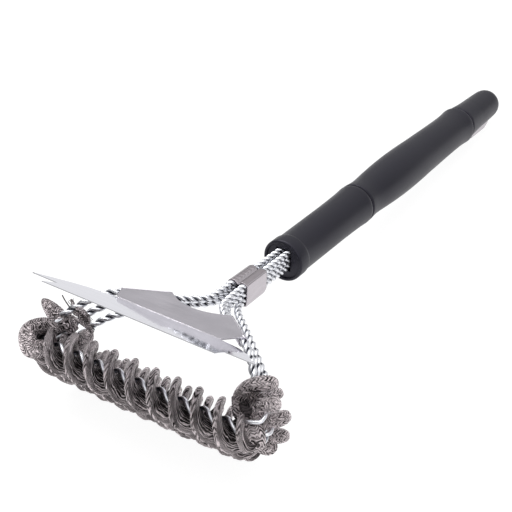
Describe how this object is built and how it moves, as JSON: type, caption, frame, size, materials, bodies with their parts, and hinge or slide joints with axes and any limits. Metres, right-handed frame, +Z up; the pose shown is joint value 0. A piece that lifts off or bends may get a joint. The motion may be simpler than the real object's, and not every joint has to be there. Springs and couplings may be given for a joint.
{
  "type": "grill cleaning brush",
  "caption": "Long-handled grill brush with interleaved knitted-mesh rolls on twisted wire loops, a crimped clamp, a folded scraper blade and a hanging bail.",
  "frame": {"origin": "middle of the bounding box on the surface the brush lies on", "axes": "+X along the mesh rolls, +Y towards the tail of the handle, +Z up with the brush lying on its lowest roll and the folded hanging bail"},
  "size_m": [0.1674, 0.4578, 0.099],
  "materials": {
    "handle_plastic": "black moulded plastic, fine matte sheen",
    "core_plastic": "plain moulded inner tube",
    "steel": "plain steel",
    "bright_sheet": "bright rolled stainless sheet",
    "wire": "bright drawn stainless wire, two strands twisted",
    "mesh": "knitted stainless wire tube, dull grey brown"
  },
  "bodies": {
    "brush": {"front_sleeve": "handle_plastic", "grip_tube": "handle_plastic", "end_cap": "handle_plastic", "mouth_plug": "handle_plastic", "handle_core": "core_plastic", "anchor_block": "steel", "anchor_screw": "steel", "clamp_band": "bright_sheet", "scraper": "bright_sheet", "bail_pin": "steel", "top_wire_core": "wire", "top_wire_leg_left": "wire", "top_mesh_corner_left": "mesh", "top_wire_leg_right": "wire", "top_mesh_corner_right": "mesh", "top_mesh_roll": "mesh", "mid_wire_core": "wire", "mid_wire_leg_left": "wire", "mid_mesh_corner_left": "mesh", "mid_wire_leg_right": "wire", "mid_mesh_corner_right": "mesh", "mid_mesh_roll": "mesh", "low_wire_core": "wire", "low_wire_leg_left": "wire", "low_mesh_corner_left": "mesh", "low_wire_leg_right": "wire", "low_mesh_corner_right": "mesh", "low_mesh_roll": "mesh"},
    "bail": {"hanging_bail": "bright_sheet"}
  },
  "joints": [
    {"name": "bail_hinge", "type": "hinge", "parent": "brush", "child": "bail", "pos_m": [0, 0.21021, 0.00866], "axis": [1, 0, 0], "range_deg": [0, 110]}
  ]
}
